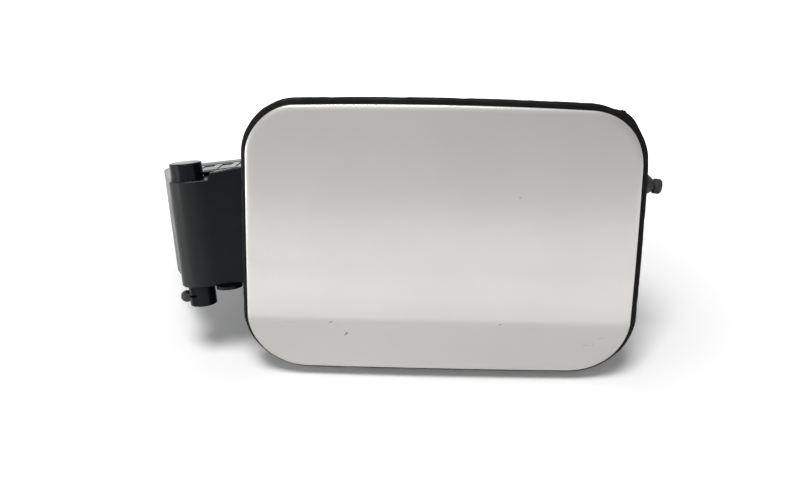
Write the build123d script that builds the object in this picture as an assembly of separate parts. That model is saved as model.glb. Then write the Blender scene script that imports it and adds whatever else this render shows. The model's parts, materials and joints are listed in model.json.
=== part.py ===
from build123d import *
from math import atan2, acos, asin, cos, degrees, hypot, pi, radians, sin, sqrt, tan
import os

# Car fuel door unit: painted door on a gooseneck hinge, in a moulded filler bowl with a rubber rim seal.
# Everything is drawn in the door's own frame (X along the car, Y inboard, Z up the panel, millimetres)
# and leaned back at the end to the angle at which the body side carries it and at which it stands.

# Body side and door outline
body_lean = 15.0
door_width = 190.0
door_height = 133.0
top_crown = 2.3
top_fall = 1.4
hinge_corner = 24.0
lock_corner = 26.8
bottom_corner = 29.0
crown_radius = 700.0
crown_height = 5.0
crease_height = -38.9
crease_bend = 15.0
crease_blend = 15.0
barrel_radius = 2500.0

# Door sheet metal
skin_sheet = 0.9
inner_sheet = 0.8
hem_width = 8.0
edge_round = 1.3
hem_gap = 0.15
hat_half_width = 72.0
hat_top = 46.0
hat_bottom = -34.0
hat_corner = 16.0
hat_back = 8.5
hat_round = 2.0
hat_drain_radius = 4.0
hat_drain_pitch = 44.0
hat_drain_height = -22.0

# Rim seal section, depths counted inboard from the outer surface
seal_inset = 4.0
seal_reveal = 2.9
seal_lock_side = 1.3
seal_front = 3.2
lip_front = 6.0
lip_thickness = 2.0
panel_slot = 2.2
slot_floor = 0.6
bulb_inset = 0.6
splice_radius = 13.0
splice_proud = 1.6
splice_angle = 48.0

# Filler bowl
bowl_wall = 2.0
bowl_depth = 78.0
collar_front = 4.4
collar_depth = 29.0
bowl_round = 6.0
neck_x = 8.0
neck_z = -2.0
neck_collar_radius = 37.0
neck_collar_length = 9.0
neck_seat_radius = 34.0
neck_radius = 29.0
neck_lip = 2.0
drain_x = -34.0
drain_z = -46.0
drain_radius = 4.5
drain_bore = 2.8
drain_length = 8.0
stud_hole_radius = 2.75
stud_boss_radius = 7.0
stud_boss_height = 3.0
stud_x = 62.0
stud_z = 26.0
rib_count = 10
rib_reach = 50.0
rib_thickness = 1.8
rib_height = 4.0

# Hinge line and its housing, plan sizes counted from the pin's centre
hinge_x = -124.35
hinge_y = 22.0
hinge_tilt = 5.8
hinge_range = 85.0
housing_wall = 1.6
barrel_outer = 9.4
housing_half = 27.0
wall_run_y = -5.0
wall_step_x = 11.5
wall_step = 3.3
wall_rise = 2.2
roof_lift = 1.9
roof_rise = 0.03
split_y = 8.5
seam_gap = 0.9
chamber_side = 10.0
chamber_rear_side = 22.3
chamber_rear_turn = 40.0
chamber_drop = 2.0
chamber_front_round = 2.2
chamber_rear_round = 8.0
lip_tab_x = 15.6
lip_tab_radius = 6.6
lip_tab_thickness = 1.5
lip_tab_reach = 5.0
seam_depth = 0.8
housing_round = 0.8
cover_round = 1.0
groove_count = 2
groove_first = 4.0
groove_pitch = 25.5
groove_width = 3.0
groove_depth = 0.8
pocket_count = 4
pocket_pitch = 9.5
pocket_width = 6.0
pocket_rim = 2.0
pocket_depth = 0.4

# Hinge pin and what holds it
pin_radius = 2.5
pin_play = 0.05
cap_radius = 8.0
cap_height = 8.5
cap_foot_radius = 8.3
cap_foot_height = 1.2
cap_round = 0.7
pin_in_cap = 5.5
retainer_radius = 6.75
retainer_height = 10.8
pin_in_retainer = 8.0
retainer_flat = 5.2
retainer_flat_x = 1.6
retainer_slit = 1.2
lobe_radius = 3.1
lobe_x = -9.0
lobe_y = 2.6
lobe_drop = 1.4
lobe_web = 4.0

# Gooseneck arm
knuckle_radius = 6.4
end_play = 0.3
window_front = 4.0
window_play = 2.5
arm_inner_radius = 42.5
arm_thickness = 5.0
arm_clearance = 2.0
spoke_past = 23.5
spoke_width = 6.0
arm_corner = 4.0
pad_thickness = 3.0
pad_end = 86.0
bush_radius = 4.5
bush_length = 9.0
bush_flange_radius = 6.2
bush_flange = 1.4
screw_radius = 2.5
screw_clearance = 0.25
screw_head_radius = 5.0
screw_head_height = 3.0
screw_socket = 2.3
screw_length = 7.0
screw_first_x = 58.0
screw_pitch = 18.0

# Hinge spring
spring_wire = 1.4
spring_mean_radius = 5.6
spring_pitch = 1.8
spring_turns = 3.75
spring_leg = 15.0
spring_leg_past = 1.65
spring_gap = 1.2
spring_headroom = 0.75
spring_over_arm = 0.1
spring_lead = 35.0
peg_radius = 1.5
peg_height = 4.0

# Lock pin on the free side
lock_y = 21.0
lock_z = 30.4
lock_tilt = 7.0
lock_boss_radius = 6.2
lock_boss_out = 2.0
lock_boss_in = 4.5
guide_radius = 4.6
guide_flange_radius = 6.0
guide_flange = 1.5
guide_out = 4.5
guide_clip = 1.6
lock_pin_radius = 3.25
lock_play = 0.05
lock_bead_radius = 3.9
lock_bead_length = 2.0
lock_bead_gap = 1.2
lock_nose_round = 0.8
cone_radius = 5.6
cone_gap = 0.2
cone_length = 3.0
cone_tip_radius = 3.6
lock_neck_radius = 3.1
lock_neck = 0.7
lock_head_radius = 3.8
lock_head = 4.4
lock_head_round = 1.2
lock_travel = 5.5

# Striker on the door
striker_gap = 2.6
striker_sheet = 2.0
striker_eye_play = 0.7
striker_eye_corner = 1.0
striker_half_height = 9.0
striker_margin = 2.5
rivet_radius = 2.0
rivet_head_radius = 3.6
rivet_head = 1.6
rivet_spread = 5.5
rivet_inset = 6.0
rivet_edge = 10.7

# Far ends of cutting shapes, larger than any piece
far = 140.0
reach = 95.0

half_w = door_width / 2
half_h = door_height / 2
lip_back = lip_front + lip_thickness
rear_lip_front = lip_back + panel_slot
seal_back = rear_lip_front + lip_thickness
collar_x = -half_w + seal_inset - hinge_x
chamber_back = arm_inner_radius + arm_thickness + arm_clearance + housing_wall
spring_upper_leg = barrel_outer - housing_wall + spring_leg_past
spring_height = spring_pitch * spring_turns + spring_wire
spring_low = housing_half - housing_wall - spring_headroom - spring_height
knuckle_top = spring_low - spring_gap - bush_flange
knuckle_low = -housing_half + housing_wall + end_play + bush_flange
arm_half_height = spring_low - spring_over_arm
pad_front = hat_back - hinge_y
spoke_angle = hinge_range + spoke_past
cone_start = guide_out + lock_travel + cone_gap
lock_x = half_w - seal_inset
hinge = Pos(hinge_x, hinge_y, 0) * Rot(0, -hinge_tilt, 0)
lock = Pos(lock_x, lock_y, lock_z) * Rot(0, lock_tilt, 0)


def side_depth(z):
    """Depth of the outer surface behind its foremost line at height z, on the door's middle line."""
    if z >= crease_height:
        return crown_radius - sqrt(crown_radius**2 - (z - crown_height) ** 2)
    slope = asin((crown_height - crease_height) / crown_radius) + radians(crease_bend)
    return side_depth(crease_height) + (crease_height - z) * tan(slope)


def door_outline(grow=0.0, lock_side=0.0):
    """Front outline of the door, grown outward by grow and wider by lock_side on the lock's side."""
    right = half_w + lock_side
    top_z = half_h - top_fall
    top = ThreePointArc((-half_w, top_z), (0, top_z + top_crown), (right, top_z))
    rest = Polyline((right, top_z), (right, -half_h), (-half_w, -half_h), (-half_w, top_z))
    outline = make_face(Curve() + [top, rest])
    outline = fillet(outline.vertices().sort_by_distance((-half_w, top_z, 0))[0], hinge_corner)
    outline = fillet(outline.vertices().sort_by_distance((right, top_z, 0))[0], lock_corner)
    outline = fillet(outline.vertices().group_by(Axis.Y)[0], bottom_corner)
    return offset(outline, amount=grow) if grow else outline


def prism(sketch, front, back):
    """A front outline carried straight inboard from depth front to depth back."""
    return extrude(Pos(0, back, 0) * (Plane.XZ * sketch), amount=back - front)


def behind(depth):
    """Everything inboard of the body side's outer surface moved inboard by depth."""
    crease = (side_depth(crease_height), crease_height)
    top = (side_depth(reach), reach)
    crown = ThreePointArc(top, (0, crown_height), crease)
    rest = Polyline(crease, (side_depth(-reach), -reach), (far, -reach), (far, reach), top)
    profile = make_face(Curve() + [crown, rest])
    profile = fillet(profile.vertices().sort_by_distance((*crease, 0))[0], crease_blend)
    centre = Axis((0, barrel_radius, 0), (0, 0, 1))
    span = 2 * degrees(asin(2 * half_w / barrel_radius))
    inboard = revolve(Plane.YZ * Pos(depth, 0) * profile, axis=centre, revolution_arc=span)
    return inboard.rotate(centre, -span / 2)


def plate(sketch, front, back):
    """A sheet of the given outline that follows the body side, between two depths below its surface."""
    return (prism(sketch, -far / 4, far) & behind(front)) - behind(back)


def cylinder(radius, low, high, x=0.0, y=0.0):
    """A round bar along Z between two heights."""
    return extrude(Pos(x, y, low) * Circle(radius), amount=high - low)


# Door: outer skin hemmed round the rim of the inner panel
def make_door_skin():
    hem_back = 2 * skin_sheet + inner_sheet + 2 * hem_gap
    skin = plate(door_outline(), 0, hem_back)
    inside = door_outline(-edge_round)
    rim = [e for e in skin.edges() if on_front_rim(e, inside)]
    skin = fillet(rim, edge_round)
    skin -= plate(door_outline(-skin_sheet), skin_sheet, hem_back - skin_sheet)
    return skin - plate(door_outline(-hem_width), skin_sheet, hem_back + hem_gap)


def on_front_rim(edge, inside):
    """True for an edge where the outer surface meets the side of the outline."""
    middle = edge @ 0.5
    surface = side_depth(middle.Z) + middle.X**2 / (2 * barrel_radius)
    return abs(middle.Y - surface) < skin_sheet and not inside.is_inside((middle.X, middle.Z, 0))


def hat_outline(grow=0.0):
    """Raised field of the inner panel."""
    height = hat_top - hat_bottom + 2 * grow
    centre = (hat_top + hat_bottom) / 2
    return Pos(0, centre) * RectangleRounded(2 * (hat_half_width + grow), height, hat_corner + grow)


def make_inner_panel():
    front = skin_sheet + hem_gap
    rim = plate(door_outline(-skin_sheet - hem_gap), front, front + inner_sheet)
    hat = prism(hat_outline(), 0, hat_back) & behind(front)
    hat = fillet(hat.faces().sort_by(Axis.Y)[-1].edges(), hat_round)
    cavity = prism(hat_outline(-inner_sheet), -far / 4, hat_back - inner_sheet)
    panel = rim + hat - cavity
    for side in (-1, 1):
        at = (side * hat_drain_pitch, hat_drain_height)
        panel -= prism(Pos(*at) * Circle(hat_drain_radius), 0, 2 * hat_back)
    panel -= screw_holes(screw_radius)
    return panel - rivet_holes()


# Rim seal: soft bulb against the door, two lips either side of a slot for the body panel's edge
def make_rim_seal():
    collar = door_outline(-seal_inset)
    corner = Vector(half_w - lock_corner, half_h - top_fall - lock_corner)
    lean = radians(splice_angle)
    out = lock_corner + seal_reveal + splice_proud - splice_radius
    splice = Pos(corner.X + out * cos(lean), corner.Y + out * sin(lean)) * Circle(splice_radius)
    lip = door_outline(seal_reveal, seal_lock_side) + splice - collar
    seal = plate(door_outline(-bulb_inset) - collar, seal_front, lip_front)
    seal += plate(lip, lip_front, lip_back)
    seal += plate(door_outline(slot_floor) - collar, lip_back, rear_lip_front)
    return seal + plate(lip, rear_lip_front, seal_back)


# Filler bowl: straight collar inside the seal, then a pot that tapers so that its rear edge stands level
def bowl_taper():
    """How far the pot's walls draw in from the collar to the rear, for the bowl to stand at body_lean."""
    lean = radians(body_lean)
    seal_z = -half_h - seal_reveal
    seal_y = side_depth(seal_z) + seal_back + (half_w - bottom_corner) ** 2 / (2 * barrel_radius)
    floor = seal_z * cos(lean) - seal_y * sin(lean)
    centre_z = (floor + bowl_round + (bowl_depth - bowl_round) * sin(lean)) / cos(lean)
    return centre_z - bowl_round + half_h - seal_inset


def bowl_form(inset, depth):
    """Solid form of the bowl with its outline drawn in by inset, down to depth."""
    mouth = door_outline(-seal_inset - inset)
    floor = door_outline(-seal_inset - inset - bowl_taper())
    collar = prism(mouth, -far / 4, collar_depth) & behind(collar_front - inset)
    near = Pos(0, collar_depth, 0) * (Plane.XZ * mouth)
    rear = Pos(0, depth, 0) * (Plane.XZ * floor)
    pot = loft([near, rear], ruled=True)
    pot = fillet(pot.faces().sort_by(Axis.Y)[-1].edges(), bowl_round - inset)
    return collar + pot


def hinge_window():
    """Cut in the bowl's hinge-side wall through which the arm swings."""
    back = chamber_back - housing_wall
    width = 2 * (bowl_wall + bowl_taper() + window_play)
    height = 2 * (arm_half_height + window_play)
    middle = Pos(collar_x + bowl_taper() / 2, (window_front + back) / 2, 0)
    return hinge * middle * Box(width, back - window_front, height)


def make_filler_bowl():
    bowl = bowl_form(0, bowl_depth) - bowl_form(bowl_wall, bowl_depth - bowl_wall)
    bowl += lock * Rot(0, 90, 0) * cylinder(lock_boss_radius, -lock_boss_in, lock_boss_out)
    floor = bowl_depth - bowl_wall
    neck = Pos(neck_x, neck_z)
    bowl += prism(neck * Circle(neck_collar_radius), floor, bowl_depth + neck_collar_length)
    for i in range(rib_count):
        rib = Pos(rib_reach / 2, 0) * Rectangle(rib_reach, rib_thickness)
        bowl += prism(neck * Rot(0, 0, 360 * (i + 0.5) / rib_count) * rib, floor, bowl_depth + rib_height)
    bowl -= prism(neck * Circle(neck_seat_radius), 0, far)
    spout = Pos(drain_x, drain_z)
    bowl += prism(spout * Circle(drain_radius), floor, bowl_depth + drain_length)
    bowl -= prism(spout * Circle(drain_bore), collar_depth, far)
    for side in (-1, 1):
        at = Pos(side * stud_x, side * stud_z)
        bowl += prism(at * Circle(stud_boss_radius), floor, bowl_depth + stud_boss_height)
        bowl -= prism(at * Circle(stud_hole_radius), collar_depth, far)
    bowl -= lock * Rot(0, 90, 0) * cylinder(guide_radius, -far / 4, far / 4)
    return bowl - hinge_window()


def make_neck_seal():
    floor = bowl_depth - bowl_wall
    mouth = bowl_depth + neck_collar_length
    at = Pos(neck_x, neck_z)
    ring = prism(at * Circle(neck_seat_radius), floor - neck_lip, mouth)
    ring += prism(at * Circle(neck_collar_radius), floor - neck_lip, floor)
    ring += prism(at * Circle(neck_collar_radius), mouth, mouth + neck_lip)
    return ring - prism(at * Circle(neck_radius), 0, far)


# Hinge housing: front half with the pin's barrel, rear cover over the arm's swing
def run_contour(radius, run_y):
    """Plan of the barrel and of the front wall that runs from it to the bowl's collar."""
    end = (collar_x + housing_wall / 2, run_y)
    turn = atan2(end[1], end[0]) - acos(radius / hypot(*end))
    tangent = (radius * cos(turn), radius * sin(turn))
    middle = (radius * cos((turn - pi) / 2), radius * sin((turn - pi) / 2))
    barrel = ThreePointArc((-radius, 0), middle, tangent)
    rest = Polyline(tangent, end, (end[0], split_y), (-radius, split_y), (-radius, 0))
    return make_face(Curve() + [barrel, rest])


def chamber_contour(inset):
    """Plan of the space in which the arm swings, drawn in by inset."""
    front_left = (-chamber_side + inset, split_y + inset)
    turn = (-chamber_rear_side + inset, chamber_rear_turn)
    rear_left = (-chamber_rear_side + inset, chamber_back - inset)
    right = collar_x + bowl_taper() + chamber_rear_round
    right_side = [(right, chamber_back - inset), (right, split_y + inset)]
    contour = make_face(Polyline(front_left, turn, rear_left, *right_side, close=True))
    corners = contour.vertices()
    contour = fillet(corners.sort_by_distance((*rear_left, 0))[0], chamber_rear_round - inset)
    corners = contour.vertices()
    return fillet(corners.sort_by_distance((*front_left, 0))[0], chamber_front_round - inset)


def housing_heights(drop, inset):
    """Front view of the housing: level over the barrel, stepped up and rising towards the bowl."""
    low = -housing_half - drop + inset
    level = housing_half - inset
    foot = wall_step_x + inset
    rise = wall_rise / (collar_x - wall_step_x)
    step_top = level + wall_step
    right = collar_x + far / 2
    right_side = [(right, low), (right, step_top + rise * (right - foot))]
    step = [(foot + wall_step / 2, step_top), (foot, level)]
    shape = Polyline((-far, low), *right_side, *step, (-far, level), close=True)
    return prism(make_face(shape), -far, far)


def roof_heights(drop, inset):
    """Front view of the roof behind the front wall, one gentle slope over the whole width."""
    low = -housing_half - drop + inset
    level = housing_half + roof_lift - inset
    top = [(far, level + roof_rise * far), (-far, level - roof_rise * far)]
    return prism(make_face(Polyline((-far, low), (far, low), *top, close=True)), -far, far)


def inside_housing(drop):
    """Clear space inside the housing and its cover."""
    barrel = run_contour(barrel_outer - housing_wall, wall_run_y + housing_wall)
    passage_x = (collar_x + housing_wall - barrel_outer + housing_wall) / 2
    passage_w = collar_x + barrel_outer
    passage = Pos(passage_x, split_y) * Rectangle(passage_w, 3 * housing_wall)
    clear = barrel + passage + chamber_contour(housing_wall)
    tall = extrude(Pos(0, 0, -far) * clear, amount=2 * far)
    return tall & housing_heights(drop, housing_wall) & roof_heights(drop, housing_wall)


def wall_y(x):
    """Front face of the housing's straight wall at x, from the hinge line."""
    end = (collar_x + housing_wall / 2, wall_run_y)
    turn = atan2(end[1], end[0]) - acos(barrel_outer / hypot(*end))
    tangent = (barrel_outer * cos(turn), barrel_outer * sin(turn))
    return tangent[1] + (x - tangent[0]) * (end[1] - tangent[1]) / (end[0] - tangent[0])


def on_outer_wall(edge):
    """True for a top or bottom edge on the outside of the barrel or of the straight wall."""
    middle = edge @ 0.5
    if abs((edge @ 0).Z - (edge @ 1).Z) > housing_half or middle.Y > split_y - seam_gap / 2:
        return False
    on_barrel = abs(hypot(middle.X, middle.Y) - barrel_outer) < seam_gap / 2
    on_side = abs(middle.X + barrel_outer) < seam_gap / 2
    return on_barrel or on_side or abs(middle.Y - wall_y(middle.X)) < seam_gap / 2


def on_cover_rim(edge):
    """True for a top or bottom edge round the cover, but not for its end in the bowl or its step."""
    start = edge @ 0
    end = edge @ 1
    upright = abs(start.Z - end.Z) > housing_half
    across = abs(start.X - end.X) < seam_gap and start.X > 0
    return not upright and not across


def make_hinge_housing():
    housing = extrude(Pos(0, 0, -far) * run_contour(barrel_outer, wall_run_y), amount=2 * far)
    housing = housing & housing_heights(0, 0)
    housing = fillet([e for e in housing.edges() if on_outer_wall(e)], housing_round)
    behind_wall = run_contour(barrel_outer - housing_wall, wall_run_y + housing_wall)
    housing -= extrude(Pos(0, 0, -far) * behind_wall, amount=2 * far) - roof_heights(far, 0)
    housing -= inside_housing(0)
    groove = Box(2 * seam_depth, seam_gap, 2 * far)
    housing -= Pos(-barrel_outer, split_y - seam_gap / 2, 0) * groove
    tab_y = wall_y(lip_tab_x) - lip_tab_reach + lip_tab_radius
    housing += cylinder(lip_tab_radius, -housing_half - lip_tab_thickness, -housing_half, lip_tab_x, tab_y)
    housing -= cylinder(pin_radius + pin_play, -far, far)
    return hinge * housing - bowl_form(0, bowl_depth)


def make_hinge_cover():
    cover = extrude(Pos(0, 0, -far) * chamber_contour(0), amount=2 * far)
    cover = cover & roof_heights(chamber_drop, 0)
    cover = fillet([e for e in cover.edges() if on_cover_rim(e)], cover_round)
    under = roof_heights(chamber_drop, groove_depth)
    first = split_y + groove_first
    for i in range(groove_count):
        groove = Pos(far / 2 - barrel_outer, first + i * groove_pitch, far / 2)
        cover -= groove * Box(far, groove_width, far) - under
    for i in range(pocket_count):
        pocket = Pos((i + 0.5) * pocket_pitch - barrel_outer, first + groove_pitch / 2, far / 2)
        sunk = Box(pocket_width, groove_pitch - groove_width - 2 * pocket_rim, far)
        cover -= pocket * sunk - roof_heights(chamber_drop, pocket_depth)
    cover -= inside_housing(chamber_drop)
    return hinge * cover - bowl_form(0, bowl_depth)


# Hinge pin with its cap above and its retainer below
def make_hinge_pin():
    low = -housing_half - pin_in_retainer
    pin = cylinder(pin_radius, low, housing_half + pin_in_cap)
    return hinge * chamfer(pin.edges(), pin_radius / 5)


def make_pin_cap():
    foot = cylinder(cap_foot_radius, housing_half, housing_half + cap_foot_height)
    cap = cylinder(cap_radius, housing_half, housing_half + cap_height)
    cap = fillet(cap.faces().sort_by(Axis.Z)[-1].edges(), cap_round)
    return hinge * (cap + foot - cylinder(pin_radius + pin_play, 0, housing_half + pin_in_cap + pin_play))


def make_pin_retainer():
    top = -housing_half
    low = top - retainer_height
    body = cylinder(retainer_radius, low, top)
    body = fillet(body.faces().sort_by(Axis.Z)[0].edges(), cap_round)
    lobe_z = (low + top) / 2 - lobe_drop
    lobe = Pos(lobe_x, lobe_y, lobe_z) * Sphere(lobe_radius)
    web = Pos(lobe_x / 2, lobe_y / 2, lobe_z) * Box(-lobe_x, lobe_radius, lobe_web)
    flat = Pos(-retainer_radius - retainer_flat_x, -retainer_radius - retainer_flat, 0)
    body -= flat * Box(2 * retainer_radius, 2 * retainer_radius, 4 * far)
    slit = Pos(-retainer_radius - retainer_flat_x, -retainer_radius, (low + top) / 2)
    body -= slit * Box(2 * retainer_radius, 2 * retainer_radius, retainer_slit)
    body = body + lobe + web
    return hinge * (body - cylinder(pin_radius + pin_play, top - pin_in_retainer - pin_play, top))


# Gooseneck arm with its bushes and screws
def arm_plan():
    """Plan of the arm: spoke back from the knuckle, arc round the rim, pad along the door."""
    outer = arm_inner_radius + arm_thickness
    pad_back = pad_front + pad_thickness
    pad_angle = degrees(asin(pad_back / arm_inner_radius))
    corners = [(0, 0)]
    for angle in (pad_angle, spoke_angle / 2 + pad_angle / 2, spoke_angle):
        corners.append((3 * outer * cos(radians(angle)), 3 * outer * sin(radians(angle))))
    ring = (Circle(outer) - Circle(arm_inner_radius)) & make_face(Polyline(*corners, close=True))
    spoke = Rot(0, 0, spoke_angle) * Pos(outer / 2, 0) * Rectangle(outer, spoke_width) & Circle(outer)
    pad_start = arm_inner_radius * cos(radians(pad_angle))
    pad = Rectangle(pad_end - pad_start, pad_thickness)
    plan = ring + spoke + Pos((pad_start + pad_end) / 2, pad_front + pad_thickness / 2) * pad
    inside = radians(spoke_angle) - asin(spoke_width / 2 / arm_inner_radius)
    outside = radians(spoke_angle) + asin(spoke_width / 2 / outer)
    plan = round_corner(plan, arm_inner_radius * cos(inside), arm_inner_radius * sin(inside), arm_corner)
    plan = round_corner(plan, outer * cos(outside), outer * sin(outside), arm_corner)
    return round_corner(plan, sqrt(outer**2 - pad_back**2), pad_back, arm_corner)


def round_corner(sketch, x, y, radius):
    """Round the sketch's corner nearest to a point."""
    return fillet(sketch.vertices().sort_by_distance((x, y, 0))[0], radius)


def make_hinge_arm():
    arm = extrude(Pos(0, 0, -arm_half_height) * arm_plan(), amount=2 * arm_half_height)
    arm += cylinder(knuckle_radius, knuckle_low, knuckle_top)
    arm += cylinder(peg_radius, 0, arm_half_height + peg_height, *spring_peg())
    arm -= cylinder(bush_radius, -far, far)
    arm -= cylinder(bush_flange_radius + 2 * end_play, knuckle_top, far)
    return hinge * arm - screw_holes(screw_radius + screw_clearance)


def make_bush(end, outward):
    """Flanged bush pressed in one end of the knuckle."""
    tube = cylinder(bush_radius, *sorted((end, end - outward * bush_length)))
    flange = cylinder(bush_flange_radius, *sorted((end, end + outward * bush_flange)))
    return hinge * (tube + flange - cylinder(pin_radius + pin_play, -far, far))


def screw_places():
    """Centres of the arm's screws along the pad, from the hinge line."""
    return [screw_first_x + i * screw_pitch for i in range(2)]


def screw_holes(radius):
    """Round cuts through the pad and the raised field for the arm's screws."""
    front = pad_front - screw_length
    holes = [prism(Pos(x, 0) * Circle(radius), front, pad_front + 2 * pad_thickness) for x in screw_places()]
    return hinge * Compound(children=holes)


def make_arm_screws():
    seat = pad_front + pad_thickness
    screws = []
    for x in screw_places():
        head = prism(Pos(x, 0) * Circle(screw_head_radius), seat, seat + screw_head_height)
        head = fillet(head.faces().sort_by(Axis.Y)[-1].edges(), screw_head_height / 2)
        socket = prism(Pos(x, 0) * RegularPolygon(screw_socket, 6), seat + screw_head_height / 3, far)
        shank = prism(Pos(x, 0) * Circle(screw_radius), seat - screw_length, seat)
        screws.append(hinge * (head - socket + shank))
    return Compound(children=screws)


# Torsion spring between the arm's peg and the barrel wall
def spring_leg_angle():
    """Direction of the spring's lower leg in plan."""
    return spoke_angle - spring_lead


def spring_peg():
    """Plan place of the peg on the spoke that the spring's lower leg bears on."""
    turn = radians(spring_leg_angle())
    side = spring_mean_radius + spring_wire / 2 + peg_radius + pin_play
    along = spring_leg - 2 * peg_radius
    return (along * cos(turn) - side * sin(turn), along * sin(turn) + side * cos(turn))


def make_hinge_spring():
    start = spring_leg_angle() + 90
    coil = Helix(spring_pitch, spring_pitch * spring_turns, spring_mean_radius)
    wire = sweep(Plane(origin=coil @ 0, z_dir=coil % 0) * Circle(spring_wire / 2), path=coil)
    lower = Pos(spring_mean_radius, 0, 0) * Rot(90, 0, 0) * cylinder(spring_wire / 2, 0, spring_leg)
    last = Rot(0, 0, 360 * spring_turns)
    top = Pos(spring_mean_radius, 0, spring_pitch * spring_turns)
    upper = last * top * Rot(-90, 0, 0) * cylinder(spring_wire / 2, 0, spring_upper_leg)
    return hinge * Pos(0, 0, spring_low + spring_wire / 2) * Rot(0, 0, start) * (wire + lower + upper)


# Lock pin, its guide in the bowl wall and the striker on the door
def turned(*steps):
    """A turned piece along the lock's axis: steps of (start, end, start radius, end radius)."""
    shape = Part()
    for start, end, r0, r1 in steps:
        face = make_face(Polyline((start, 0), (end, 0), (end, r1), (start, r0), close=True))
        shape += revolve(face, axis=Axis.X)
    return shape


def make_lock_guide():
    inner = -lock_boss_in - guide_flange
    flange = (inner, -lock_boss_in, guide_flange_radius, guide_flange_radius)
    tube = (-lock_boss_in, guide_out, guide_radius, guide_radius)
    bore = (-far, far, lock_pin_radius + lock_play, lock_pin_radius + lock_play)
    return lock * (turned(flange, tube) - turned(bore))


def make_guide_clip():
    end = lock_boss_out + guide_clip
    ring = turned((lock_boss_out, end, guide_flange_radius, guide_flange_radius))
    slot = Pos(end, 0, -guide_flange_radius) * Box(4 * guide_clip, guide_radius / 2, 2 * guide_flange_radius)
    return lock * (ring - turned((-far, far, guide_radius, guide_radius)) - slot)


def make_lock_pin():
    bead_end = -lock_boss_in - guide_flange - lock_bead_gap
    nose = bead_end - lock_bead_length
    cone_end = cone_start + cone_length
    head = cone_end + lock_neck
    knob = turned((head, head + lock_head, lock_head_radius, lock_head_radius))
    knob = fillet(knob.edges().filter_by(GeomType.CIRCLE), lock_head_round)
    pin = turned(
        (nose, bead_end, lock_bead_radius - lock_nose_round, lock_bead_radius),
        (bead_end, cone_start, lock_pin_radius, lock_pin_radius),
        (cone_start, cone_end, cone_radius, cone_tip_radius),
        (cone_end, head + lock_neck, lock_neck_radius, lock_neck_radius),
    )
    return lock * (pin + knob)


def striker_x():
    """Inner face of the striker's upright, in front of the lock pin's nose."""
    nose = -lock_boss_in - guide_flange - lock_bead_gap - lock_bead_length
    return lock_x + nose * cos(radians(lock_tilt)) - striker_gap - striker_sheet


def striker_z():
    """Height of the lock pin's axis where it passes the striker."""
    return lock_z + (lock_x - striker_x() - striker_sheet / 2) * tan(radians(lock_tilt))


def rivet_places():
    """Front-view centres of the striker's rivets."""
    x = hat_half_width - rivet_edge
    return [(x, striker_z() + side * rivet_spread) for side in (-1, 1)]


def rivet_holes():
    """Round cuts through the raised field for the striker's rivets."""
    holes = [prism(Pos(*at) * Circle(rivet_radius), 0, hat_back + 2 * striker_sheet) for at in rivet_places()]
    return Compound(children=holes)


def make_lock_striker():
    x = striker_x()
    z = striker_z()
    eye = lock_bead_radius + striker_eye_play
    tip = lock_y + eye + striker_margin
    foot_w = x + striker_sheet - (hat_half_width - rivet_edge - rivet_inset)
    foot = RectangleRounded(foot_w, 2 * striker_half_height, striker_sheet)
    foot = Pos(x + striker_sheet - foot_w / 2, z) * foot
    upright = Pos(x + striker_sheet / 2, z) * Rectangle(striker_sheet, 2 * striker_half_height)
    striker = prism(foot, hat_back, hat_back + striker_sheet) + prism(upright, hat_back, tip)
    corners = [e for e in striker.edges().filter_by(Axis.X) if e.center().Y > tip - 0.01]
    striker = fillet(corners, striker_half_height / 2)
    opening = RectangleRounded(2 * eye, 2 * eye, striker_eye_corner)
    striker -= lock * Rot(0, 90, 0) * extrude(Pos(0, 0, -far) * opening, amount=far)
    return striker - rivet_holes()


def make_striker_rivets():
    front = hat_back - inner_sheet
    back = hat_back + striker_sheet
    rivets = []
    for at in rivet_places():
        head = prism(Pos(*at) * Circle(rivet_head_radius), back, back + rivet_head)
        head = fillet(head.faces().sort_by(Axis.Y)[-1].edges(), rivet_head / 2)
        tail = prism(Pos(*at) * Circle(rivet_head_radius), front - rivet_head, front)
        shank = prism(Pos(*at) * Circle(rivet_radius), front, back)
        rivets.append(head + tail + shank)
    return Compound(children=rivets)


pieces = {
    "door_skin": make_door_skin,
    "door_inner_panel": make_inner_panel,
    "rim_seal": make_rim_seal,
    "filler_bowl": make_filler_bowl,
    "neck_seal": make_neck_seal,
    "hinge_housing": make_hinge_housing,
    "hinge_cover": make_hinge_cover,
    "hinge_pin": make_hinge_pin,
    "pin_cap": make_pin_cap,
    "pin_retainer": make_pin_retainer,
    "hinge_arm": make_hinge_arm,
    "upper_bush": lambda: make_bush(knuckle_top, 1),
    "lower_bush": lambda: make_bush(knuckle_low, -1),
    "arm_screws": make_arm_screws,
    "hinge_spring": make_hinge_spring,
    "lock_guide": make_lock_guide,
    "guide_clip": make_guide_clip,
    "lock_pin": make_lock_pin,
    "lock_striker": make_lock_striker,
    "striker_rivets": make_striker_rivets,
}
shapes = {name: make() for name, make in pieces.items()}

# Lean the unit back and set its origin under the middle of its box, on the surface that it stands on
leaned = {name: Rot(-body_lean, 0, 0) * shape for name, shape in shapes.items()}
box = Compound(children=list(leaned.values())).bounding_box()
origin = Pos(-(box.min.X + box.max.X) / 2, -(box.min.Y + box.max.Y) / 2, -box.min.Z)
stand = origin * Rot(-body_lean, 0, 0)

os.makedirs("parts", exist_ok=True)
for name, shape in shapes.items():
    placed = stand * shape
    placed.label = name
    export_step(placed, f"parts/{name}.step")
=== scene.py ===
import json
import math

import bpy
import numpy as np
from mathutils import Matrix, Vector


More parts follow.
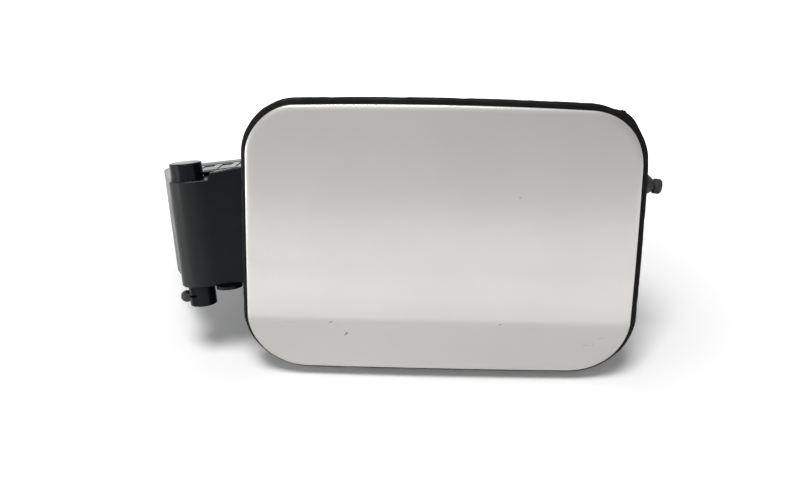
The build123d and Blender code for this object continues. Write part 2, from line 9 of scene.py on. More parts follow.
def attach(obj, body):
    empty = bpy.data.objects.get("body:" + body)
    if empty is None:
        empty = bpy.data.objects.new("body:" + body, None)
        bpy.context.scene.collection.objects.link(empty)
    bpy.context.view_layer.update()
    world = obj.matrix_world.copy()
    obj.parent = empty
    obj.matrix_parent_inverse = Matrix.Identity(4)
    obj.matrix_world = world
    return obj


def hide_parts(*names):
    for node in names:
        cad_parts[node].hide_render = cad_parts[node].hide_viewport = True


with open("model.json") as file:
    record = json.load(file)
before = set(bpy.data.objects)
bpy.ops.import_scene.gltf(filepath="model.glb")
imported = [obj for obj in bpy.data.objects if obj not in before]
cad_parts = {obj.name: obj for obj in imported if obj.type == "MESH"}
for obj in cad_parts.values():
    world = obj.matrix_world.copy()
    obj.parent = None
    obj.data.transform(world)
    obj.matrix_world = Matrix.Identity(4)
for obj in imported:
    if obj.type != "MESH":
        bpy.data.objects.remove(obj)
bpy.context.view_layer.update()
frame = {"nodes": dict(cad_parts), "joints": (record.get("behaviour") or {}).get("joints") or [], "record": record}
scene = bpy.context.scene
nodes = frame["nodes"]
print("stage 1: packed frame loaded,", len(nodes), "nodes")

# The unit is drawn in the door's own frame (x along the car, y inboard, z up the panel) and leaned back as packed
unit = {"leanDeg": 15.0, "hinge": (-0.12435, 0.022, 0.0), "hingeTiltDeg": 5.8}
leanTurn = np.array(Matrix.Rotation(math.radians(-unit["leanDeg"]), 3, "X"))
hingeJoint = [j for j in frame["joints"] if j["name"] == "door_hinge"][0]
unitShift = np.array(hingeJoint["pos_m"]) - leanTurn @ np.array(unit["hinge"])


def toRow(points):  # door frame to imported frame: turned back by the lean, then moved onto its stand
    return np.asarray(points, float) @ leanTurn.T + unitShift


# Camera: where the photographer stood, in the door's frame
cameraSpot = {
    "place": (-0.0196929, -0.4238508, 0.0957053),
    "right": (0.99978351, 0.00550149, 0.02006643),
    "up": (-0.02078954, 0.22471527, 0.97420267),
    "back": (0.00085033, -0.97440894, 0.22478099),
    "lens": 40.5,  # 900 px on an 800 px frame
}
cameraData = bpy.data.cameras.new("camera")
cameraData.lens = cameraSpot["lens"]
cameraData.sensor_width = 36.0
cameraData.sensor_fit = "HORIZONTAL"
cameraData.clip_start = 0.01
camera = bpy.data.objects.new("camera", cameraData)
scene.collection.objects.link(camera)
axes = np.stack([leanTurn @ np.array(cameraSpot[k]) for k in ("right", "up", "back")], axis=1)
cameraMatrix = Matrix(axes.tolist()).to_4x4()
cameraMatrix.translation = Vector(toRow(np.array([cameraSpot["place"]]))[0])
camera.matrix_world = cameraMatrix
scene.camera = camera
scene.view_settings.view_transform = "Standard"
print("stage 2: camera set")


# Node helpers
def newFinish(name):
    material = bpy.data.materials.new(name)
    material.use_nodes = True
    tree = material.node_tree
    shader = tree.nodes["Principled BSDF"]
    coords = tree.nodes.new("ShaderNodeTexCoord").outputs["Object"]
    return material, tree, shader, coords


def addNode(tree, kind, settings=None, inputs=None):
    node = tree.nodes.new(kind)
    for key, value in (settings or {}).items():
        setattr(node, key, value)
    for key, value in (inputs or {}).items():
        if isinstance(value, bpy.types.NodeSocket):
            tree.links.new(value, node.inputs[key])
        else:
            node.inputs[key].default_value = value
    return node


def noise(tree, coords, scale, detail=3.0, rough=0.55, squeeze=None):
    if squeeze:
        coords = addNode(tree, "ShaderNodeMapping", None, {"Vector": coords, "Scale": squeeze}).outputs[0]
    inputs = {"Vector": coords, "Scale": scale, "Detail": detail, "Roughness": rough}
    return addNode(tree, "ShaderNodeTexNoise", None, inputs).outputs["Fac"]


def remap(tree, value, low, high, to0, to1):
    settings = {"interpolation_type": "SMOOTHSTEP"}
    inputs = {"Value": value, "From Min": low, "From Max": high, "To Min": to0, "To Max": to1}
    return addNode(tree, "ShaderNodeMapRange", settings, inputs).outputs[0]


def maths(tree, operation, a, b):
    return addNode(tree, "ShaderNodeMath", {"operation": operation}, {0: a, 1: b}).outputs[0]


def mixColour(tree, factor, a, b):
    return addNode(tree, "ShaderNodeMix", {"data_type": "RGBA"}, {0: factor, 6: a, 7: b}).outputs[2]


def bump(tree, shader, height, strength, distance):
    inputs = {"Height": height, "Strength": strength, "Distance": distance}
    tree.links.new(addNode(tree, "ShaderNodeBump", None, inputs).outputs[0], shader.inputs["Normal"])


def grey(v):
    return (v, v, v, 1.0)


# Floor and light. A pair is a range over which something fades: of direction for the room, of metres for the table
stageLook = {
    "floorSize": 6.0, "floorColour": (0.93, 0.93, 0.925), "floorRough": 0.6, "floorSpecular": 0.2,
    "mottleScale": 9.0, "mottleLow": 0.985, "floorGlow": 0.075, "farGlow": 1.0, "farRange": (0.08, 0.5),
    "paleRear": (0.0, 0.2), "paleRight": (-0.8, -0.35),
    "worldColour": (0.97, 0.985, 1.0, 1.0), "share": 0.42,
    "front": 0.53, "rear": 0.2, "frontToRear": (-0.6, 0.4), "left": 0.3, "leftRange": (-0.9, -0.4),
    "horizon": 1.25, "horizonUp": (0.03, 0.17), "horizonFront": (-0.6, 0.0), "horizonRight": (-0.7, -0.4),
    "mirrorRear": (-0.1, 0.4),
    # place, aim, width, height, power
    "lights": {
        "key_light": ((-0.17, -0.58, 1.4), (0.0, 0.0, 0.05), 0.5, 0.5, 18.3),
        "side_light": ((-0.98, -0.48, 0.22), (-0.1, 0.0, 0.07), 0.7, 0.34, 5.0),
    },
}
world = bpy.data.worlds.new("studio")
scene.world = world
world.use_nodes = True
tree = world.node_tree
worldShade = tree.nodes["Background"]
path = addNode(tree, "ShaderNodeLightPath").outputs
seen, glossy = path["Is Camera Ray"], path["Is Glossy Ray"]
tree.links.new(mixColour(tree, seen, stageLook["worldColour"], grey(1.0)), worldShade.inputs["Color"])
toward = addNode(tree, "ShaderNodeTexCoord").outputs["Generated"]  # in the world this is the ray's direction
toward = addNode(tree, "ShaderNodeSeparateXYZ", None, {0: toward}).outputs
room = remap(tree, toward["Y"], *stageLook["frontToRear"], stageLook["front"], stageLook["rear"])
room = maths(tree, "ADD", room, remap(tree, toward["X"], *stageLook["leftRange"], stageLook["left"], 0.0))
# a bright band above the horizon, in front and not at the far left
band = maths(tree, "MULTIPLY", remap(tree, toward["Y"], *stageLook["horizonFront"], 1.0, 0.0),
             remap(tree, toward["X"], *stageLook["horizonRight"], 0.0, 1.0))
low = maths(tree, "MULTIPLY", remap(tree, toward["Z"], *stageLook["horizonUp"], stageLook["horizon"], 0.0), band)
# the white backdrop, as seen and as mirrored in plastic and metal
mirrored = maths(tree, "MULTIPLY", glossy, remap(tree, toward["Y"], *stageLook["mirrorRear"], 0.0, 1.0))
white = maths(tree, "MAXIMUM", seen, mirrored)
unseen = maths(tree, "SUBTRACT", 1.0, white)
# less of the room reaches the table than mirrors in the part
room = maths(tree, "MULTIPLY", maths(tree, "ADD", room, low),
             remap(tree, glossy, 0.0, 1.0, stageLook["share"], 1.0))
strength = maths(tree, "ADD", white, maths(tree, "MULTIPLY", unseen, room))
tree.links.new(strength, worldShade.inputs["Strength"])

half = stageLook["floorSize"] / 2
floorMesh = bpy.data.meshes.new("floor")
floorMesh.from_pydata([(-half, -half, 0), (half, -half, 0), (half, half, 0), (-half, half, 0)], [], [(0, 1, 2, 3)])
floor = bpy.data.objects.new("floor", floorMesh)
scene.collection.objects.link(floor)
floorLook, tree, shader, coords = newFinish("pale_table")
floorMesh.materials.append(floorLook)
shader.inputs["Roughness"].default_value = stageLook["floorRough"]
shader.inputs["Specular IOR Level"].default_value = stageLook["floorSpecular"]
faint = remap(tree, noise(tree, coords, stageLook["mottleScale"]), 0.3, 0.7, stageLook["mottleLow"], 1.0)
inputs = {0: stageLook["floorColour"], "Scale": faint}
floorTint = addNode(tree, "ShaderNodeVectorMath", {"operation": "SCALE"}, inputs).outputs[0]
tree.links.new(floorTint, shader.inputs["Base Color"])
path = addNode(tree, "ShaderNodeLightPath").outputs
shown = maths(tree, "MAXIMUM", path["Is Camera Ray"], path["Is Transmission Ray"])
# the white table further off, as seen, and as mirrored except at the left in front
away = addNode(tree, "ShaderNodeVectorMath", {"operation": "LENGTH"}, {0: coords}).outputs["Value"]
farGlow = remap(tree, away, *stageLook["farRange"], 0.0, stageLook["farGlow"])
spot = addNode(tree, "ShaderNodeSeparateXYZ", None, {0: coords}).outputs
pale = maths(tree, "MAXIMUM", remap(tree, spot["Y"], *stageLook["paleRear"], 0.0, 1.0),
             remap(tree, spot["X"], *stageLook["paleRight"], 0.0, 1.0))
bright = maths(tree, "MAXIMUM", shown, maths(tree, "MULTIPLY", path["Is Glossy Ray"], pale))
nearGlow = maths(tree, "MULTIPLY", shown, stageLook["floorGlow"])
glow = maths(tree, "ADD", nearGlow, maths(tree, "MULTIPLY", bright, farGlow))
shader.inputs["Emission Color"].default_value = grey(1.0)
tree.links.new(glow, shader.inputs["Emission Strength"])

for name, (place, target, wide, high, power) in stageLook["lights"].items():
    data = bpy.data.lights.new(name, "AREA")
    data.shape = "RECTANGLE"
    data.size, data.size_y = wide, high
    data.energy = power
    light = bpy.data.objects.new(name, data)
    scene.collection.objects.link(light)
    light.location = place
    light.rotation_euler = (Vector(target) - Vector(place)).to_track_quat("-Z", "Y").to_euler()
print("stage 3: floor and lights set")


# Body paint: silver base under clear coat, with the few marks that the door carries
paintLook = {
    "silver": (0.508, 0.495, 0.477, 1.0), "shade": (0.481, 0.468, 0.452, 1.0), "metal": 0.8, "rough": 0.36,
    "coat": 1.0, "coatRough": 0.05, "primer": (0.10, 0.10, 0.10, 1.0), "scuff": (0.33, 0.33, 0.32, 1.0),
    "flakeScale": 2600.0, "flakeShare": 0.4, "cloudScale": 22.0, "cloudShare": 0.6, "peelScale": 420.0,
    "rimScale": 1500.0, "rimWobble": 0.45, "rimFade": (0.75, 1.15), "markRough": 0.25,
    # x, z, half length, half width, turn in degrees, depth of the mark (all lengths in mm)
    "chips": [
        (-53.5, -39.8, 1.25, 0.32, 36, 0.6), (-45.9, -46.3, 1.0, 0.48, 40, 0.8), (-47.0, -47.4, 0.7, 0.22, 62, 0.4),
        (30.4, -39.2, 0.9, 0.36, 30, 0.65), (36.9, 24.5, 0.45, 0.4, 0, 0.5),
    ],
    "scratches": [
        (74.0, -50.8, 1.3, 0.32, 16, 0.6), (77.8, -50.2, 0.6, 0.35, 14, 0.5), (81.3, -46.6, 1.7, 0.3, 10, 0.5),
        (29.2, -40.2, 0.8, 0.22, 43, 0.4), (-74.4, -40.6, 2.6, 0.25, -8, 0.35), (-51.0, -41.2, 2.4, 0.2, -12, 0.3),
    ],
}


def markMask(tree, coords, wobble, spot):  # one where the point lies in a small ellipse on the door, fading at its rim
    x, z, along, across, turn, depth = spot
    place = toRow(np.array([[x / 1000, surfaceY(x / 1000, z / 1000), z / 1000]]))[0]
    spin = Matrix(leanTurn.tolist()) @ Matrix.Rotation(math.radians(-turn), 3, "Y")
    inputs = {"Vector": coords, "Location": tuple(place), "Rotation": tuple(spin.to_euler("XYZ")),
              "Scale": (along / 1000, 4 * along / 1000, across / 1000)}
    local = addNode(tree, "ShaderNodeMapping", {"vector_type": "TEXTURE"}, inputs).outputs[0]
    reach = addNode(tree, "ShaderNodeVectorMath", {"operation": "LENGTH"}, {0: local}).outputs["Value"]
    return remap(tree, maths(tree, "ADD", reach, wobble), *paintLook["rimFade"], depth, 0.0)


def makePaint():
    material, tree, shader, coords = newFinish("body_paint")
    flake = remap(tree, noise(tree, coords, paintLook["flakeScale"], 1.0), 0.35, 0.65, 0.0, 1.0)
    cloud = remap(tree, noise(tree, coords, paintLook["cloudScale"]), 0.3, 0.7, 0.0, paintLook["cloudShare"])
    speck = maths(tree, "ADD", maths(tree, "MULTIPLY", flake, paintLook["flakeShare"]), cloud)
    colour = mixColour(tree, speck, paintLook["silver"], paintLook["shade"])
    swing = paintLook["rimWobble"]
    wobble = remap(tree, noise(tree, coords, paintLook["rimScale"], 2.0), 0.2, 0.8, -swing, swing)
    rough = paintLook["rough"]
    for key, under in (("scratches", "scuff"), ("chips", "primer")):
        total = 0.0
        for spot in paintLook[key]:
            total = maths(tree, "MAXIMUM", markMask(tree, coords, wobble, spot), total)
        colour = mixColour(tree, total, colour, paintLook[under])
        rough = maths(tree, "ADD", maths(tree, "MULTIPLY", total, paintLook["markRough"]), rough)
    tree.links.new(colour, shader.inputs["Base Color"])
    tree.links.new(rough, shader.inputs["Roughness"])
    shader.inputs["Metallic"].default_value = paintLook["metal"]
    shader.inputs["Coat Weight"].default_value = paintLook["coat"]
    shader.inputs["Coat Roughness"].default_value = paintLook["coatRough"]
    bump(tree, shader, noise(tree, coords, paintLook["peelScale"], 2.0), 0.05, 0.0002)
    return material


# Black rubber: dull, slightly dusty, fine skin
rubberLook = {
    "black": (0.0035, 0.0035, 0.0037, 1.0), "dusty": (0.011, 0.011, 0.0105, 1.0), "rough": (0.48, 0.68),
    "specular": 0.11, "dustScale": 160.0, "roughScale": 90.0, "skinScale": 1800.0,
}


def makeRubber():
    material, tree, shader, coords = newFinish("seal_rubber")
    f = rubberLook
    dust = remap(tree, noise(tree, coords, f["dustScale"], 5.0, 0.65), 0.45, 0.8, 0.0, 1.0)
    tree.links.new(mixColour(tree, dust, f["black"], f["dusty"]), shader.inputs["Base Color"])
    rough = remap(tree, noise(tree, coords, f["roughScale"]), 0.3, 0.7, *f["rough"])
    tree.links.new(rough, shader.inputs["Roughness"])
    shader.inputs["Specular IOR Level"].default_value = f["specular"]
    bump(tree, shader, noise(tree, coords, f["skinScale"], 2.0), 0.25, 0.0001)
    return material


# Moulded plastics: base colour, dust colour, roughness range, grain scale, grain depth in metres, specular level
plasticLooks = {
    "housing_plastic": ((0.0022, 0.0035, 0.0048, 1.0), (0.006, 0.008, 0.0095, 1.0), (0.20, 0.32), 240.0, 0.00003, 0.13),
    "bowl_plastic": ((0.024, 0.024, 0.0248, 1.0), (0.046, 0.045, 0.043, 1.0), (0.46, 0.62), 1500.0, 0.00012, 0.4),
    "arm_plastic": ((0.016, 0.016, 0.017, 1.0), (0.03, 0.03, 0.03, 1.0), (0.38, 0.55), 1100.0, 0.00008, 0.4),
    "pin_plastic": ((0.013, 0.013, 0.0135, 1.0), (0.032, 0.032, 0.031, 1.0), (0.42, 0.6), 900.0, 0.00006, 0.4),
    "guide_plastic": ((0.72, 0.71, 0.66, 1.0), (0.60, 0.58, 0.52, 1.0), (0.35, 0.5), 700.0, 0.00004, 0.5),
}
plasticNoise = {"dustScale": 70.0, "roughScale": 45.0}


# Painted light on the hinge, in metres from its axis: a lighter tone painted on the barrel's outer side, where light
# from the left falls, and a painted highlight on the retainer's lobe
hingePaintedLight = {
    "barrel": (0.0228, 0.0240, 0.0241, 1.0), "across": (-0.008, 0.012), "halfHeight": 0.0264, "seam": -0.003,
    "fade": 0.001,
    "lobe": (0.041, 0.041, 0.0405, 1.0), "lobePlace": (-0.009, 0.0026, -0.0338), "lobeReach": 0.0035,
}


def addPaintedLight(tree, coords, colour):
    # the barrel's painted light falls off across it and stops at its ends and its seam,
    # the lobe's painted highlight falls off with the distance from its middle
    f = hingePaintedLight
    spin = Matrix(leanTurn.tolist()) @ Matrix.Rotation(math.radians(-unit["hingeTiltDeg"]), 3, "Y")
    inputs = {"Vector": coords, "Location": tuple(hingeJoint["pos_m"]), "Rotation": tuple(spin.to_euler("XYZ"))}
    local = addNode(tree, "ShaderNodeMapping", {"vector_type": "TEXTURE"}, inputs).outputs[0]
    part = addNode(tree, "ShaderNodeSeparateXYZ", None, {0: local}).outputs
    share = remap(tree, part["X"], *f["across"], 1.0, 0.0)
    height = maths(tree, "ABSOLUTE", part["Z"], 0.0)
    for value, stop in ((height, f["halfHeight"]), (part["Y"], f["seam"])):
        share = maths(tree, "MULTIPLY", share, remap(tree, value, stop, stop + f["fade"], 1.0, 0.0))
    colour = mixColour(tree, share, colour, f["barrel"])
    inputs = {0: local, 1: f["lobePlace"]}
    away = addNode(tree, "ShaderNodeVectorMath", {"operation": "DISTANCE"}, inputs).outputs["Value"]
    share = remap(tree, away, f["lobeReach"], f["lobeReach"] + f["fade"], 1.0, 0.0)
    return mixColour(tree, share, colour, f["lobe"])


def makePlastic(name):
    base, dusty, rough, grain, depth, gloss = plasticLooks[name]
    material, tree, shader, coords = newFinish(name)
    dust = remap(tree, noise(tree, coords, plasticNoise["dustScale"], 6.0, 0.7), 0.5, 0.85, 0.0, 1.0)
    colour = mixColour(tree, dust, base, dusty)
    if name == "housing_plastic":
        # painted light on the barrel's outer side and a painted highlight on the retainer's lobe
        colour = addPaintedLight(tree, coords, colour)
    tree.links.new(colour, shader.inputs["Base Color"])
    rough = remap(tree, noise(tree, coords, plasticNoise["roughScale"]), 0.3, 0.7, *rough)
    tree.links.new(rough, shader.inputs["Roughness"])
    shader.inputs["Specular IOR Level"].default_value = gloss
    bump(tree, shader, noise(tree, coords, grain, 3.0), 0.5, depth)
    return material


# Bare metals: colour, darker streak colour, roughness range, streak squeeze
metalLooks = {
    "steel": ((0.62, 0.62, 0.60, 1.0), (0.50, 0.50, 0.49, 1.0), (0.24, 0.42), (1.0, 1.0, 9.0)),
    "spring_steel": ((0.34, 0.34, 0.35, 1.0), (0.22, 0.22, 0.23, 1.0), (0.28, 0.45), (1.0, 1.0, 1.0)),
    "bush_bronze": ((0.60, 0.42, 0.20, 1.0), (0.45, 0.30, 0.14, 1.0), (0.35, 0.5), (1.0, 1.0, 6.0)),
    "rivet_aluminium": ((0.75, 0.75, 0.76, 1.0), (0.6, 0.6, 0.61, 1.0), (0.28, 0.4), (1.0, 1.0, 1.0)),
}
metalNoise = {"streakScale": 400.0, "roughScale": 150.0}


def makeMetal(name):
    bright, dull, rough, squeeze = metalLooks[name]
    material, tree, shader, coords = newFinish(name)
    streak = remap(tree, noise(tree, coords, metalNoise["streakScale"], 4.0, 0.6, squeeze), 0.3, 0.7, 0.0, 1.0)
    tree.links.new(mixColour(tree, streak, bright, dull), shader.inputs["Base Color"])
    rough = remap(tree, noise(tree, coords, metalNoise["roughScale"]), 0.3, 0.7, *rough)
    tree.links.new(rough, shader.inputs["Roughness"])
    shader.inputs["Metallic"].default_value = 1.0
    bump(tree, shader, streak, 0.3, 0.00003)
    return material


# Door form, all lengths in metres
doorForm = {
    "width": 0.190, "height": 0.133, "topCrown": 0.0023, "topFall": 0.0014, "hingeCorner": 0.024, "lockCorner": 0.0268,
    "bottomCorner": 0.029,
    "hingeEase": -0.0005, "lockFull": 0.0005, "footFull": 0.0006,  # how far the pressed corners leave their arcs
    "crownRadius": 0.7, "crownHeight": 0.005, "creaseHeight": -0.0389, "creaseBend": 15.0, "creaseBlend": 0.015,
    "barrelRadius": 2.5, "tableReach": 0.1, "tableStep": 0.00005,
}


def depthTable():  # slope angle at each height, summed up: crown arc above the crease, straight below, blended between
    f = doorForm
    z = np.arange(f["tableReach"], -f["tableReach"], -f["tableStep"])
    arc = np.arcsin((f["crownHeight"] - z) / f["crownRadius"])
    line = math.asin((f["crownHeight"] - f["creaseHeight"]) / f["crownRadius"]) + math.radians(f["creaseBend"])
    blend = f["creaseBlend"] * math.tan(math.radians(f["creaseBend"] / 2))
    share = np.clip((f["creaseHeight"] + blend - z) / (2 * blend), 0, 1)
    rise = np.tan(arc * (1 - share) + line * share)
    depth = np.concatenate([[0], np.cumsum((rise[1:] + rise[:-1]) / 2 * f["tableStep"])])
    depth -= np.interp(-f["crownHeight"], -z, depth)
    return z[::-1].copy(), depth[::-1].copy()


tableZ, tableDepth = depthTable()


def surfaceY(x, z):  # depth of the body side: the middle line's depth carried round the barrel's axis
    radius = doorForm["barrelRadius"] - np.interp(z, tableZ, tableDepth)
    return doorForm["barrelRadius"] - np.sqrt(radius**2 - np.asarray(x) ** 2)


def outlinePath(step, leftShift, rightShift):
    # arcs of the four corners and of the top edge, straight runs between, with outward normals;
    # a corner leaves its arc by a shift times the squared sine of the way along it
    f = doorForm
    w, h = f["width"] / 2, f["height"] / 2
    topRadius = (w**2 + f["topCrown"] ** 2) / (2 * f["topCrown"])
    topZ = h - f["topFall"] + f["topCrown"] - topRadius
    low, left, right = f["bottomCorner"], f["hingeCorner"], f["lockCorner"]
    leftUp, rightUp = (math.sqrt((topRadius - r) ** 2 - (w - r) ** 2) for r in (left, right))
    leftTip, rightTip = math.atan2(w - left, leftUp), math.atan2(w - right, rightUp)
    quarter = math.pi / 2
    arcs = [
        (w - low, low - h, low, -quarter, 0.0, f["footFull"]),
        (w - right, topZ + rightUp, right, 0.0, quarter - rightTip, rightShift),
        (0.0, topZ, topRadius, quarter - rightTip, quarter + leftTip, 0.0),
        (left - w, topZ + leftUp, left, quarter + leftTip, 2 * quarter, leftShift),
        (low - w, low - h, low, 2 * quarter, 3 * quarter, 0.0),
    ]
    points, normals = [], []
    for x, z, radius, a0, a1, shift in arcs:
        a = np.linspace(a0, a1, max(16, int(radius * (a1 - a0) / step)) + 1)
        way = np.stack([np.cos(a), np.sin(a)], axis=1)
        corner = np.array([x, z]) + (radius + shift * np.sin(np.pi * (a - a0) / (a1 - a0)) ** 2)[:, None] * way
        if points:
            gap = np.linalg.norm(corner[0] - points[-1][-1])
            if gap > step:
                t = np.linspace(0, 1, int(gap / step) + 1)[1:-1, None]
                points.append(points[-1][-1] * (1 - t) + corner[0] * t)
                normals.append(np.repeat(way[:1], len(t), axis=0))
            else:
                corner, way = corner[1:], way[1:]
        points.append(corner)
        normals.append(way)
    t = np.linspace(0, 1, int(np.linalg.norm(points[0][0] - points[-1][-1]) / step) + 1)[1:-1, None]
    points.append(points[-1][-1] * (1 - t) + points[0][0] * t)
    normals.append(np.repeat(normals[0][:1], len(t), axis=0))
    return np.concatenate(points), np.concatenate(normals)


def onSide(flat, depth):  # front-view points set at a depth below the body side's surface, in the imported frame
    x, z = flat[..., 0], flat[..., 1]
    return toRow(np.stack([x, surfaceY(x, z) + depth, z], axis=-1))


def gridMesh(name, grid, closeRows=False, poles=(False, False)):
    # rows by columns of points; columns close round, rows too where asked, and a pole closes a row with one point
    rows, cols = grid.shape[:2]
    verts = grid.reshape(-1, 3)
    r = np.arange(rows if closeRows else rows - 1)[:, None]
    c = np.arange(cols)[None, :]
    r1, c1 = (r + 1) % rows, (c + 1) % cols
    corners = np.broadcast_arrays(r * cols + c, r * cols + c1, r1 * cols + c1, r1 * cols + c)
    quads = np.stack(corners, axis=-1).reshape(-1, 4)
    fans = np.zeros((0, 3), int)
    ring = np.arange(cols)
    for end, row in ((0, 0), (1, rows - 1)):
        if poles[end]:
            base = row * cols
            fan = np.stack([np.full(cols, len(verts)), base + (ring + 1) % cols, base + ring], axis=1)
            fans = np.concatenate([fans, fan if end == 0 else fan[:, ::-1]])
            verts = np.concatenate([verts, grid[row].mean(axis=0)[None]])
    a, b, d = (verts[quads[:, i]] for i in (0, 1, 2))
    e = verts[quads[:, 3]]
    volume = np.einsum("ij,ij->", a, np.cross(b, d)) + np.einsum("ij,ij->", a, np.cross(d, e))
    if volume < 0:  # faces point outwards
        quads, fans = quads[:, ::-1], fans[:, ::-1]
    mesh = bpy.data.meshes.new(name)
    mesh.vertices.add(len(verts))
    mesh.vertices.foreach_set("co", verts.astype(np.float32).ravel())
    loops = np.concatenate([quads.ravel(), fans.ravel()]).astype(np.int32)
    totals = np.concatenate([np.full(len(quads), 4), np.full(len(fans), 3)]).astype(np.int32)
    mesh.loops.add(len(loops))
    mesh.loops.foreach_set("vertex_index", loops)
    mesh.polygons.add(len(totals))
    mesh.polygons.foreach_set("loop_start", (np.cumsum(totals) - totals).astype(np.int32))
    mesh.polygons.foreach_set("loop_total", totals)
    mesh.polygons.foreach_set("use_smooth", np.ones(len(totals), bool))
    mesh.update(calc_edges=True)
    mesh.validate()
    piece = bpy.data.objects.new(name, mesh)
    scene.collection.objects.link(piece)
    return piece


def roundedLoop(corners, steps=6):  # polygon with each corner given as (x, y, radius), turned into arcs
    pts = np.array([c[:2] for c in corners], float)
    radii = np.array([c[2] for c in corners], float)
    back = np.roll(pts, 1, axis=0) - pts
    ahead = np.roll(pts, -1, axis=0) - pts
    back /= np.linalg.norm(back, axis=1, keepdims=True)
    ahead /= np.linalg.norm(ahead, axis=1, keepdims=True)
    between = np.arccos(np.clip((back * ahead).sum(axis=1), -1, 1))
    cut = radii / np.tan(between / 2)
    t = np.linspace(0, 1, steps)[None, :, None]
    start, end = pts + back * cut[:, None], pts + ahead * cut[:, None]
    # a quadratic curve through the cut points, near an arc of that radius
    bow = (1 - t) ** 2 * start[:, None] + 2 * t * (1 - t) * pts[:, None] + t**2 * end[:, None]
    return bow.reshape(-1, 2)


finishes = {"paint": makePaint(), "seal_rubber": makeRubber()}
finishes.update({name: makePlastic(name) for name in plasticLooks})
finishes.update({name: makeMetal(name) for name in metalLooks})
finishes["inner_paint"] = finishes["paint"]
for part in frame["record"]["subparts"]:
    look = finishes[part["material_slot"]]
    mesh = nodes[part["node"]].data
    mesh.materials.clear()
    mesh.materials.append(look)
print("stage 4: finishes on the CAD nodes")


def dress(piece, body, node, slot):
    piece.data.materials.append(finishes[slot])
    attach(piece, body)
    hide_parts(node)


# Door skin: one sheet, folded round its rim into the hem
skinForm = {
    "step": 0.0012, "rings": 110, "liningRings": 24, "middle": 0.004, "liningMiddle": 0.05,
    "sheet": 0.0009, "edge": 0.00105, "roll": 0.003, "rollTilt": 12.0, "easeSteps": 8, "overSteps": 10, "backSteps": 7,
    "thick": 0.0029, "hem": 0.008, "hemRound": 0.0003, "hemStart": 0.0012, "hemRun": 0.002, "fold": 0.0004,
}


def makeSkin():
    # front rings shrink to the middle, the face eases over in a parabola to the tilt and an arc on to the rim,
    # the hem runs in, turns and comes back inside
    f = skinForm
    rim, out = outlinePath(f["step"], doorForm["hingeEase"], doorForm["lockFull"])
    quarter = np.linspace(0, np.pi / 2, f["backSteps"])
    e, t, s, h, k = f["edge"], f["thick"], f["sheet"], f["hem"], f["hemRound"]
    inset, fold = e + f["hemStart"], s + f["fold"]
    tilt = math.radians(f["rollTilt"])
    drop = f["roll"] * math.tan(tilt) / 2
    bend = (e - drop) / math.cos(tilt)
    ease, over = np.linspace(0, 1, f["easeSteps"])[:-1], np.linspace(tilt, np.pi / 2, f["overSteps"])
    run = np.stack([f["roll"] * (ease - 1) - bend * (1 - math.sin(tilt)), drop * ease**2], axis=1)
    front = np.concatenate([run, np.stack([-bend * (1 - np.sin(over)), e - bend * np.cos(over)], axis=1)])
    back = np.stack([-e + e * np.cos(quarter), t - e + e * np.sin(quarter)], axis=1)
    hem = np.array([[-inset, t], [-h + f["hemRun"], t], [-h + k, t], [-h + 0.3 * k, t - 0.3 * k], [-h, t - k],
                    [-h, t - s + k], [-h + 0.3 * k, t - s + 0.3 * k], [-h + k, t - s], [-inset, t - s]])
    inner = np.array([[-fold, t - s], [-s, t / 2], [-fold, s], [-inset, s]])
    turn = np.concatenate([front, back, hem, inner])
    rimRows = onSide(rim[None] + turn[:, 0, None, None] * out[None], turn[:, 1, None])
    scale = np.linspace(f["middle"], 1, f["rings"])[:-1, None, None]
    field = onSide((rim + front[0, 0] * out)[None] * scale, 0.0)
    backScale = np.linspace(1, f["liningMiddle"], f["liningRings"])[1:, None, None]
    lining = onSide((rim - inset * out)[None] * backScale, s)
    skin = gridMesh("doorSkin", np.concatenate([field, rimRows, lining]), poles=(True, True))
    dress(skin, "door", "door_skin", "paint")


makeSkin()
print("stage 5: door skin made")


# Rim seal: soft bulb, two lips and the slot between them, drawn as (out from the door's edge, depth, corner radius)
sealForm = {
    "step": 0.0007,
    "section": [
        (-4.0, 3.3, 0.3), (-3.3, 3.2, 0.6), (-1.3, 3.2, 1.1), (-0.6, 4.6, 0.8), (-0.7, 5.9, 0.3), (1.8, 6.0, 0.6),
        (2.9, 6.4, 0.45), (2.85, 7.5, 0.5), (1.9, 8.0, 0.5), (0.6, 8.05, 0.3), (0.6, 10.15, 0.3), (1.9, 10.2, 0.5),
        (2.85, 10.6, 0.45), (2.9, 11.8, 0.35), (2.0, 12.2, 0.5), (-4.0, 12.2, 0.3),
    ],
    "lip": 0.0029, "softFrom": -0.0006, "softOver": 0.0035, "spliceHalf": 40.0, "spliceBlend": 13,
    "lockSide": 0.0013, "spliceTurn": 50.0, "spliceRadius": 0.013, "spliceProud": 0.0021, "cornerFull": 0.0003,
    "burrTurn": 57.0, "burrWide": 0.9, "burrProud": 0.0010, "wave": 0.00012,
    "waves": [(1.0, 190.0, 0.0), (0.6, 431.0, 1.3), (0.4, 887.0, 0.4)],  # share, turn per metre, start
}


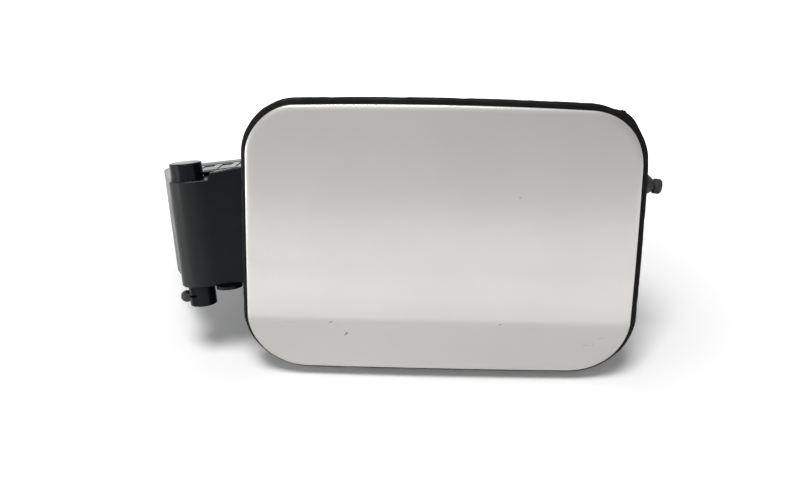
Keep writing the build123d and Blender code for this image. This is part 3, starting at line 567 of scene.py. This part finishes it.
def makeSeal():
    # the section follows the door's edge; past the edge it swells at the splice and wavers a little along its length
    f = sealForm
    rim, out = outlinePath(f["step"], 0.0, f["cornerFull"])
    section = roundedLoop(f["section"]) / 1000
    along = np.concatenate([[0], np.cumsum(np.linalg.norm(np.diff(rim, axis=0), axis=1))])
    corner = doorForm["lockCorner"]
    away = rim - np.array([doorForm["width"] / 2, doorForm["height"] / 2 - doorForm["topFall"]]) + corner
    turn = np.degrees(np.arctan2(away[:, 1], away[:, 0]))
    side = f["lockSide"] * np.maximum(out[:, 0], 0)
    reach = corner + f["lip"] + side
    centre = corner + f["lip"] + f["spliceProud"] - f["spliceRadius"]
    # far side of the splice's circle, seen from the corner's middle: distance times cosine plus the half chord
    off = np.radians(np.clip(turn - f["spliceTurn"], -f["spliceHalf"], f["spliceHalf"]))
    chord = np.sqrt(np.maximum(f["spliceRadius"] ** 2 - (centre * np.sin(off)) ** 2, 0))
    inCorner = (np.abs(turn - f["spliceTurn"]) < f["spliceHalf"]) & (rim[:, 0] > 0) & (rim[:, 1] > 0)
    swell = np.where(inCorner, np.maximum(centre * np.cos(off) + chord - reach, 0), 0)
    kernel = np.hanning(f["spliceBlend"])
    pad = f["spliceBlend"] // 2
    swell = np.convolve(np.concatenate([swell[-pad:], swell, swell[:pad]]), kernel / kernel.sum(), "valid")
    burr = f["burrProud"] * np.exp(-(((turn - f["burrTurn"]) / f["burrWide"]) ** 2)) * inCorner
    wave = f["wave"] * sum(share * np.sin(along * pace + start) for share, pace, start in f["waves"])
    tipShare = np.clip((section[:, 0] - f["softFrom"]) / f["softOver"], 0, 1)[:, None]
    grow = section[:, 0, None] + tipShare * (side + swell + burr + np.minimum(wave, 0))[None]
    sweep = onSide(rim[None] + grow[..., None] * out[None], section[:, 1, None])
    seal = gridMesh("rimSeal", sweep, closeRows=True)
    dress(seal, "bowl", "rim_seal", "seal_rubber")


makeSeal()
print("stage 6: rim seal made")


# Neck seal: turned ring with rounded flanges and gripping beads in its bore, as (radius, depth, corner radius) in mm
neckForm = {
    "centre": (0.008, -0.002), "columns": 160,
    "section": [
        (29.0, 74.2, 0.8), (36.9, 74.0, 0.7), (37.0, 75.9, 0.5), (34.0, 76.1, 0.1), (34.0, 86.9, 0.1),
        (37.0, 87.1, 0.5), (36.9, 89.0, 0.7), (29.0, 88.8, 0.8), (29.7, 86.6, 0.6), (29.0, 84.6, 0.7),
        (29.7, 82.6, 0.6), (29.0, 80.6, 0.7), (29.7, 78.6, 0.6), (29.0, 76.6, 0.7),
    ],
}


def makeNeckSeal():
    # the section turns round the neck's axis: radius times cosine and sine of the angle, depth unchanged
    f = neckForm
    section = roundedLoop(f["section"]) / 1000
    angle = np.linspace(0, 2 * np.pi, f["columns"], endpoint=False)[None]
    radius, depth = section[:, 0, None], section[:, 1, None]
    x = f["centre"][0] + radius * np.cos(angle)
    z = f["centre"][1] + radius * np.sin(angle)
    ring = gridMesh("neckSeal", toRow(np.stack([x, depth + 0 * angle, z], axis=-1)), closeRows=True)
    dress(ring, "bowl", "neck_seal", "seal_rubber")


makeNeckSeal()
print("stage 7: neck seal made")
